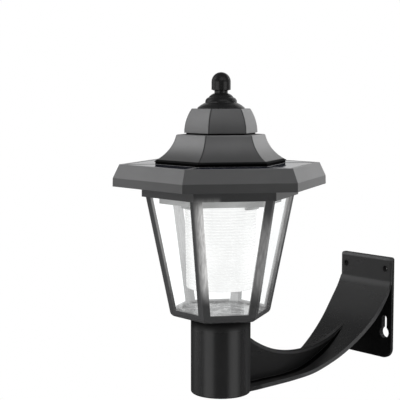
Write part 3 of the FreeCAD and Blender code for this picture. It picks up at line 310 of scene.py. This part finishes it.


# painted highlight on the crease where the ribbon meets the plate
def plate_crease_highlight(m):
    z = m.xyz()[2]
    return m.times(m.ramp(z, CREASE_Z - 0.0052, CREASE_Z - 0.0017),
                   m.ramp(z, CREASE_Z + 0.0018, CREASE_Z - 0.0012),
                   m.ramp(m.facing()[1], 0.0, -0.3))


def ribbon_side_highlight(m):
    """Painted highlight on the narrow sides of the ribbon, between the socket and the plate."""
    x, y, _ = m.xyz()
    return m.times(m.ramp(m.size(m.facing()[0]), 0.6, 0.9),
                   m.ramp(m.size(x), RIBBON_SIDE_X - 0.002, RIBBON_SIDE_X),
                   m.ramp(y, PLATE_FRONT_Y - 0.0006, PLATE_FRONT_Y - 0.0021),
                   m.ramp(y, SOCKET_BACK_Y + 0.0031, SOCKET_BACK_Y + 0.0081))


def web_lip_highlight(m):
    """Painted highlight on the rim of the web's sides, along its hollow top edge."""
    x, y, z = m.xyz()
    away = m.distance(m.minus(y, WEB_CENTRE_Y), m.minus(z, WEB_CENTRE_Z))
    return m.times(m.ramp(away, WEB_RADIUS + 0.0029, WEB_RADIUS + 0.0019),
                   m.ramp(away, WEB_RADIUS + 0.0003, WEB_RADIUS + 0.0008),
                   m.ramp(m.size(x), WEB_HALF + 0.0002, WEB_HALF + 0.00005),
                   m.ramp(y, WEB_END_Y, WEB_END_Y - 0.004), m.ramp(m.size(m.facing()[0]), 0.5, 0.8))


def bracket_painted_highlights(m):
    """Places on the bracket with a painted highlight."""
    return m.most(plate_top_highlight(m), m.times(plate_crease_highlight(m), 0.4), m.times(ribbon_side_highlight(m), 0.5),
                  m.times(web_lip_highlight(m), 0.7))


def skirt_gap_shade(m):
    """Painted shade, black: the skirt's lip over the seal, and its ledge and plinth under the dome."""
    z = m.xyz()[2]
    return m.most(m.ramp(z, SKIRT_FOOT_Z + 0.0016, SKIRT_FOOT_Z + 0.0012),
                  m.ramp(z, SKIRT_TOP_Z - 0.0001, SKIRT_TOP_Z + 0.0001))


def painted_post_light(m):
    """Painted streaky light on the posts, standing for the lit tube's light on and past them: strong
    on the faces that look inward, and on the outer faces of two posts half way up."""
    angle = m.polar()[0]
    z = m.minus(m.xyz()[2], SEAT_Z)
    streak = m.noise(1.0, 2.0, 0.5, m.mapped((900.0, 900.0, 14.0)))
    inner = m.times(m.ramp(m.outward(), 0.2, -0.1), m.ramp(z, 0.006, 0.05, 0.1, 0.52))
    half_way = m.times(m.ramp(z, 0.012, 0.032), m.ramp(z, 0.088, 0.074))
    turn = m.minus(angle, -SIXTH)
    front = m.times(m.ramp(turn, -0.06, 0.09), m.ramp(turn, 0.35, 0.3))
    right = m.times(m.ramp(angle, -0.20, -0.05), m.ramp(angle, 0.3, 0.2), m.ramp(z, 0.080, 0.055))
    outer = m.times(half_way, m.plus(m.times(front, 1.55), m.times(right, 0.45)))
    return m.times(m.most(inner, outer), m.ramp(streak, 0.3, 0.7, 0.6, 1.0))


# ------------------------------------------------------------------ materials

PAINTED_SHADE_BLACK = (0.001, 0.001, 0.001)
PAINTED_SHADE = (0.004, 0.004, 0.004)
PAINTED_HIGHLIGHT = (0.052, 0.052, 0.053)
DUST = (0.42, 0.40, 0.37)
WARM_WHITE = (1.0, 0.995, 0.985)


def scaled(colour, factor, lift=0.0):
    return tuple(channel * factor + lift for channel in colour)


def moulded(name, colour, rough, grain=1.0, spec=0.5, wear_and_edge_highlight=0.5, mitres=False, painted_glow=0.0, black=None,
            shade=None, matt=None, highlight=None):
    """Moulded plastic: fine spark-eroded grain, faint flow clouds, edges lighter partly from use and
    partly as a painted highlight, and dust. shade is a height below which the colour gets painted
    shade, its soft edge and its share. black, matt and highlight are functions for the places that get
    painted black shade, painted shade without gloss, or a painted highlight."""
    m = Mat(name)
    clouds = m.noise(38.0, 3.0)
    fine = m.noise(2600.0, 2.0, 0.6)
    brushed = m.noise(60.0, 4.0, 0.6, m.mapped((1.0, 1.0, 9.0)))
    speck = m.noise(700.0, 4.0, 0.6)
    # edges lighter, partly from wear and partly as a painted highlight
    worn_and_highlit_edges = m.times(m.edges(0.0007), m.ramp(m.noise(210.0, 4.0), 0.3, 0.6, 0.6, 1.0))
    base = m.blend(m.ramp(clouds, 0.3, 0.7), scaled(colour, 0.95), scaled(colour, 1.05))
    base = m.blend(m.times(m.ramp(brushed, 0.35, 0.65), 0.25), base, scaled(colour, 0.9))
    base = m.blend(m.times(worn_and_highlit_edges, wear_and_edge_highlight), base, scaled(colour, 1.7, 0.03))
    dust = m.times(m.ramp(m.facing()[2], 0.6, 1.0), m.ramp(m.noise(95.0, 6.0, 0.7), 0.45, 0.75))
    base = m.blend(m.times(dust, 0.02), base, DUST)
    roughness = m.ramp(speck, 0.3, 0.7, rough * 0.95, rough * 1.05)
    roughness = m.plus(roughness, m.times(dust, 0.1), clamp=True)
    normal = m.bump(fine, 0.035 * grain, 0.0001, m.bevel(0.0004))
    tint = (1.0, 1.0, 1.0)
    # painted shade: darker colour below a given height
    if shade:
        end, soft, share = shade
        base = m.blend(m.ramp(m.xyz()[2], end - soft, end, share, 0.0), base, PAINTED_SHADE)
    if mitres:
        groove = mitre_lines(m)
        base = m.blend(m.times(groove, 0.85), base, scaled(colour, 0.12))
        normal = m.bump(m.minus(1.0, groove), 0.5, 0.0003, normal)
    # painted highlight: lighter colour on the highlight places
    if highlight:
        base = m.blend(highlight(m), base, PAINTED_HIGHLIGHT)
    # painted shade: the matt places get a black base colour and dulled reflection, as well as more
    # roughness
    if matt:
        spot = matt(m)
        base = m.blend(spot, base, PAINTED_SHADE_BLACK)
        tint = m.blend(spot, tint, (0.03, 0.03, 0.03))
        limb = m.limb()
        roughness = m.plus(roughness, spot, clamp=True)
        roughness = m.plus(roughness, m.ramp(limb, 0.42, 0.85, 0.0, 0.9), clamp=True)
        spec = m.ramp(limb, 0.45, 0.90, spec, spec * 0.15)
    # painted shade: the black places get a black base colour and more roughness
    if black:
        spot = black(m)
        base = m.blend(spot, base, PAINTED_SHADE_BLACK)
        roughness = m.plus(roughness, m.times(spot, 0.6), clamp=True)
    shader = m.shader(Base_Color=base, Roughness=roughness, Normal=normal, Specular_IOR_Level=spec,
                      Specular_Tint=tint)
    if painted_glow:
        # painted light: emission on the posts
        m.put(shader.inputs["Emission Color"], WARM_WHITE)
        m.put(shader.inputs["Emission Strength"], m.times(painted_post_light(m), painted_glow))
    return m.finish(shader)


def clear_pane(name, veil, tint):
    """Clear moulded plastic: see-through, with gloss that grows edge on, a painted glow for the lamp's
    light in the plastic, tiny scratches, and a floor with painted swirling reflections."""
    m = Mat(name)
    smear = m.noise(60.0, 5.0, 0.6)
    scratch = m.noise(700.0, 2.0, 0.5, m.mapped((1.0, 1.0, 0.05)))
    normal = m.bump(smear, 0.02, 0.0004)
    see = m.add("ShaderNodeBsdfTransparent")
    m.put(see.inputs["Color"], tint)
    gloss = m.add("ShaderNodeBsdfGlossy")
    m.put(gloss.inputs["Roughness"], m.ramp(scratch, 0.35, 0.65, 0.03, 0.09))
    m.put(gloss.inputs["Normal"], normal)
    mirror = m.math("MULTIPLY_ADD", m.math("POWER", m.limb(normal=normal), 5.0), 0.95, 0.035)
    # painted glow: emission standing for the lamp's light in the panes
    painted_haze = m.add("ShaderNodeEmission")
    m.put(painted_haze.inputs["Strength"], m.ramp(smear, 0.3, 0.7, veil * 0.85, veil * 1.15))
    pane = m.add("ShaderNodeAddShader")
    m.links.new(m.mix_shaders(m.times(mirror, 0.5), see, gloss).outputs[0], pane.inputs[0])
    m.links.new(painted_haze.outputs[0], pane.inputs[1])

    # painted reflections: dark and light swirls in the floor's colour
    swirl = m.noise(62.0, 2.0, 0.5, distortion=2.6)
    tone = m.ramp(swirl, 0.36, 0.64)
    swirl_reflections = m.shader(Base_Color=m.blend(tone, (0.02, 0.02, 0.022), (0.25, 0.25, 0.25)), Roughness=0.16,
                     IOR=1.46, Specular_IOR_Level=0.25, Normal=m.bump(swirl, 0.4, 0.0012))
    floor_part = m.ramp(m.xyz()[2], LINER_FLOOR_Z + 0.0012, LINER_FLOOR_Z + 0.0002)
    cover = m.times(floor_part, m.ramp(tone, 0.0, 0.5, 0.80, 0.94))
    return m.finish(m.mix_shaders(cover, pane, swirl_reflections))


def lit_tube(name, strength):
    """Ribbed clear tube lit from inside: bright, with rings that fade downwards and a softer limb."""
    m = Mat(name)
    z = m.xyz()[2]
    wave = m.math("SINE", m.times(z, 2 * math.pi / RING_PITCH))
    rings = m.times(wave, m.ramp(z, SEAT_Z + 0.03, SEAT_Z + 0.078, 0.02, 0.075))
    streak = m.noise(90.0, 3.0, 0.5, m.mapped((1.0, 1.0, 0.1)))
    light = m.plus(rings, m.ramp(streak, 0.3, 0.7, 0.97, 1.03))
    light = m.times(light, m.ramp(m.limb(0.35), 0.1, 0.9, 1.0, 0.72), strength)
    return m.finish(m.shader(Base_Color=(0.22, 0.22, 0.22), Roughness=0.18, IOR=1.46,
                             Emission_Color=(1.0, 0.998, 0.99), Emission_Strength=light))


def solar(name):
    """Dark laminated solar strip: cell bars with fine silver lines under a glossy cover."""
    m = Mat(name)
    angle, _, x, y = m.polar()
    turn = m.plus(m.times(m.math("FLOOR", m.math("DIVIDE", angle, SIXTH)), SIXTH), SIXTH / 2)
    cosine, sine = m.math("COSINE", turn), m.math("SINE", turn)
    out = m.plus(m.times(x, cosine), m.times(y, sine))
    along = m.minus(m.times(y, cosine), m.times(x, sine))
    bars = m.size(m.math("SINE", m.times(along, math.pi / CELL_PITCH)))
    wires = m.size(m.math("SINE", m.times(out, math.pi / WIRE_PITCH)))
    line = m.most(m.ramp(bars, 0.16, 0.06), m.times(m.ramp(wires, 0.14, 0.04), 0.5))
    base = m.blend(m.ramp(m.noise(70.0), 0.35, 0.65), (0.010, 0.012, 0.020), (0.018, 0.020, 0.032))
    base = m.blend(m.times(line, 0.5), base, (0.25, 0.26, 0.28))
    return m.finish(m.shader(Base_Color=base, Roughness=m.ramp(m.noise(400.0), 0.3, 0.7, 0.05, 0.1),
                             Normal=m.bump(m.noise(30.0, 2.0), 0.03, 0.0005)))


def grained(name, a, b, scale, rough, metallic=0.0, bump=0.1, spec=0.5):
    """Two-tone grained finish for the inner pieces."""
    m = Mat(name)
    clouds = m.noise(scale, 5.0)
    fine = m.noise(scale * 14.0, 2.0)
    roughness = m.ramp(fine, 0.3, 0.7, rough * 0.8, min(1.0, rough * 1.2))
    return m.finish(m.shader(Base_Color=m.blend(m.ramp(clouds, 0.35, 0.65), a, b), Roughness=roughness,
                             Metallic=metallic, Specular_IOR_Level=spec,
                             Normal=m.bump(fine, bump, 0.0002, m.bevel(0.0003))))


BLACK = moulded("black_plastic", (0.010, 0.010, 0.0102), 0.24, grain=0.6, spec=0.42)
# the bracket gets painted shade and painted highlights
BRACKET = moulded("bracket_plastic", (0.013, 0.013, 0.0132), 0.26, grain=0.6, spec=0.36, wear_and_edge_highlight=0.45,
                  matt=bracket_shade_and_matt, highlight=bracket_painted_highlights)
GREY = moulded("dark_grey_plastic", (0.092, 0.092, 0.093), 0.32, wear_and_edge_highlight=0.2)
# the brim copy of the grey plastic carries painted shade on its upright band
BRIM = moulded("brim_plastic", (0.094, 0.094, 0.095), 0.32, wear_and_edge_highlight=0.2,
               shade=(BAND_TOP_Z + 0.0003, 0.0006, 0.46))
# the cage gets painted streaky light on its posts
CAGE = moulded("cage_plastic", (0.040, 0.040, 0.041), 0.32, wear_and_edge_highlight=0.35, painted_glow=0.42)
# the skirt gets painted shade towards its foot and painted black shade on its lip and plinth
SKIRT = moulded("skirt_plastic", (0.150, 0.150, 0.151), 0.30, wear_and_edge_highlight=0.2, mitres=True, black=skirt_gap_shade,
                shade=(SKIRT_FOOT_Z + 0.014, 0.014, 0.66))
DOME = moulded("dome_plastic", (0.115, 0.115, 0.116), 0.30, wear_and_edge_highlight=0.2, mitres=True)
PANE = clear_pane("clear_panes", 0.085, (0.975, 0.98, 0.98))
GLOW = lit_tube("lit_diffuser", 0.66)
SOLAR = solar("solar_cover")
# white plastic given a grey colour: painted shade on the reflector and the other white pieces
SHADED_WHITE = grained("white_plastic", (0.26, 0.26, 0.257), (0.31, 0.31, 0.306), 60.0, 0.35)
RUBBER = grained("seal_rubber", (0.001, 0.001, 0.001), (0.002, 0.002, 0.002), 160.0, 0.9, bump=0.3,
                 spec=0.05)
BOARD = grained("circuit_board", (0.03, 0.13, 0.06), (0.045, 0.17, 0.08), 300.0, 0.35)
CHIP = grained("light_chip", (0.85, 0.72, 0.25), (0.9, 0.8, 0.35), 500.0, 0.3)
PARTS = grained("electronic_part", (0.03, 0.03, 0.032), (0.05, 0.05, 0.052), 400.0, 0.45)
CELL = grained("cell_wrap", (0.10, 0.30, 0.14), (0.13, 0.35, 0.17), 120.0, 0.25)
STEEL = grained("plated_steel", (0.62, 0.62, 0.60), (0.72, 0.72, 0.70), 240.0, 0.28, metallic=1.0)
DARK_STEEL = grained("dark_screws", (0.05, 0.05, 0.05), (0.08, 0.08, 0.08), 240.0, 0.4, metallic=1.0)
RED = grained("red_lead", (0.45, 0.02, 0.015), (0.52, 0.03, 0.02), 300.0, 0.4)

NODE_MATERIALS = {
    "bracket": BRACKET, "spigot": BLACK, "finial": BLACK, "battery_tray": BLACK,
    "cage": CAGE, "lid_base": GREY, "brim_cover": BRIM, "roof_skirt": SKIRT, "roof_dome": DOME,
    "clear_liner": PANE, "diffuser": GLOW, "reflector": SHADED_WHITE, "switch_slider": SHADED_WHITE,
    # the roof seal is coloured black to stand for the shade in the gap under the skirt
    "lid_gasket": RUBBER, "roof_seal": RUBBER, "led_board": BOARD, "control_board": BOARD,
    "led_chips": CHIP, "board_parts": PARTS, "switch_body": PARTS, "battery_cell": CELL,
    "contact_plus": STEEL, "contact_minus": STEEL, "base_screws": DARK_STEEL,
    "reflector_screws": STEEL, "board_screws": STEEL, "skirt_screws": STEEL, "dome_screws": STEEL,
    "finial_screw": STEEL, "solar_leads": RED, "battery_leads": RED, "led_leads": RED,
    "switch_leads": RED,
}
for name, node in frame["nodes"].items():
    material = SOLAR if name.startswith("solar_strip") else NODE_MATERIALS[name]
    node.data.materials.clear()
    node.data.materials.append(material)


# ------------------------------------------------------------------ floor

FLOOR_SIZE = 12.0
FLOOR_Z = -0.32
FLOOR_WHITE = (0.9, 0.9, 0.9)
SHADOW_RADII = (0.3, 0.75)          # the floor shows its shadow within the first, and fades to white


def floor_white(name):
    """Pale matt floor that shows white to the camera and through the panes, and half of its shadow
    near the object. From below it is open."""
    m = Mat(name)
    matt = m.add("ShaderNodeBsdfDiffuse")
    m.put(matt.inputs["Color"], m.blend(m.noise(3.0, 3.0), scaled(FLOOR_WHITE, 0.97), FLOOR_WHITE))
    white = m.add("ShaderNodeEmission")
    white.inputs["Strength"].default_value = 1.0
    seen, _ = m.seen()
    share = m.times(seen, m.ramp(m.polar()[1], *SHADOW_RADII, 0.5, 1.0))
    top = m.mix_shaders(share, matt, white)
    below = m.add("ShaderNodeNewGeometry").outputs["Backfacing"]
    return m.finish(m.mix_shaders(below, top, m.add("ShaderNodeBsdfTransparent")))


def add_floor():
    mesh = bpy.data.meshes.new("floor")
    h = FLOOR_SIZE / 2
    mesh.from_pydata([(-h, -h, 0), (h, -h, 0), (h, h, 0), (-h, h, 0)], [], [(0, 1, 2, 3)])
    obj = bpy.data.objects.new("floor", mesh)
    SCENE.collection.objects.link(obj)
    obj.location = (0, 0, FLOOR_Z)
    obj.visible_glossy = False
    obj.data.materials.append(floor_white("floor_white"))


add_floor()


# ------------------------------------------------------------------ world
# Soft upright panels round the object: bearing and half width in degrees, lowest and highest
# direction as a sine, strength, softness.

PANELS = (
    (-18, 38, 0.30, 0.85, 0.75, 0.12),      # above the camera, for bevels and dome
    (-140, 24, -0.25, 0.75, 0.66, 0.12),    # left
    (112, 44, -0.15, 0.60, 0.7, 0.12),      # behind on the right
    (-40, 22, -0.6, 0.05, 0.12, 0.12),      # faint, low in front
    (-88, 19, -0.6, 0.05, 1.7, 0.08),       # two upright ones for the bands on the socket
    (11, 19, -0.6, 0.05, 1.7, 0.08),
)
GLOSS_LEVEL = 0.14                          # between the panels
SKY_COLOUR = (0.97, 0.985, 1.0)
SKY_LEVEL = 0.26                            # even light from all round


def panel_light(sky, level, height, bearing, half_width, low, high, strength, soft):
    """One panel's light in a direction, given level and by its height."""
    angle = math.radians(bearing)
    toward = sky.dot(level, (math.cos(angle), math.sin(angle), 0))
    wide = sky.ramp(toward, math.cos(math.radians(half_width * 1.3)),
                    math.cos(math.radians(half_width * 0.7)))
    rise = sky.ramp(height, low - soft, low + soft)
    fall = sky.ramp(height, high - soft, high + soft, 1.0, 0.0)
    return sky.times(rise, fall, wide, strength)


def background(sky, colour, strength):
    node = sky.add("ShaderNodeBackground")
    sky.put(node.inputs["Color"], colour)
    sky.put(node.inputs["Strength"], strength)
    return node


def add_world():
    """Even light, with the panels in gloss, and plain white for the camera and through the panes."""
    world = bpy.data.worlds.new("studio")
    SCENE.world = world
    world.use_nodes = True
    sky = Nodes(world.node_tree)
    direction = sky.add("ShaderNodeTexCoord").outputs["Generated"]
    flat = sky.add("ShaderNodeVectorMath", operation="MULTIPLY")
    sky.put(flat.inputs[0], direction)
    sky.put(flat.inputs[1], (1, 1, 0))
    level = sky.add("ShaderNodeVectorMath", operation="NORMALIZE")
    sky.put(level.inputs[0], flat.outputs[0])
    height = sky.split(direction)[2]
    light = GLOSS_LEVEL
    for panel in PANELS:
        light = sky.plus(panel_light(sky, level.outputs[0], height, *panel), light)
    seen, path = sky.seen()
    even = background(sky, SKY_COLOUR, SKY_LEVEL)
    gloss = background(sky, (0.8, 0.8, 0.8), light)
    white = background(sky, (1, 1, 1), 1.0)
    lit = sky.mix_shaders(path["Is Glossy Ray"], even, gloss)
    lit = sky.mix_shaders(seen, lit, white)
    out = sky.add("ShaderNodeOutputWorld")
    sky.links.new(lit.outputs[0], out.inputs["Surface"])


add_world()


# ------------------------------------------------------------------ lamps and camera

LAMP_TARGET = (0.0, -0.13, 0.06)
LAMPS = (                                   # name, size, power, place
    ("key_left", 0.8, 26.0, (-0.95, -1.15, 0.75)),
    ("key_right", 0.8, 46.0, (0.35, 1.30, 0.65)),
    ("front", 0.7, 7.0, (0.55, -0.60, 1.50)),
)
CAMERA_PLACE = (0.5783, -0.6577, 0.1653)    # from the fit to the photograph's corners
CAMERA_LOOK = (-0.7628, 0.6395, -0.0959)
CAMERA_LENS = 100.27


def turned(direction):
    return Vector(direction).to_track_quat("-Z", "Y").to_euler()


def add_lamp(name, size, power, place):
    """A square soft lamp that shows neither to the camera nor in gloss."""
    light = bpy.data.lights.new(name, "AREA")
    light.shape = "SQUARE"
    light.size = size
    light.energy = power
    obj = bpy.data.objects.new(name, light)
    SCENE.collection.objects.link(obj)
    obj.location = place
    obj.rotation_euler = turned(Vector(LAMP_TARGET) - Vector(place))
    obj.visible_glossy = False
    obj.visible_camera = False


def add_camera():
    data = bpy.data.cameras.new("camera")
    camera = bpy.data.objects.new("camera", data)
    SCENE.collection.objects.link(camera)
    camera.location = CAMERA_PLACE
    camera.rotation_euler = turned(CAMERA_LOOK)
    data.sensor_width = 36.0
    data.lens = CAMERA_LENS
    data.clip_start = 0.01
    SCENE.camera = camera


for lamp in LAMPS:
    add_lamp(*lamp)
add_camera()

SCENE.view_settings.view_transform = "Standard"
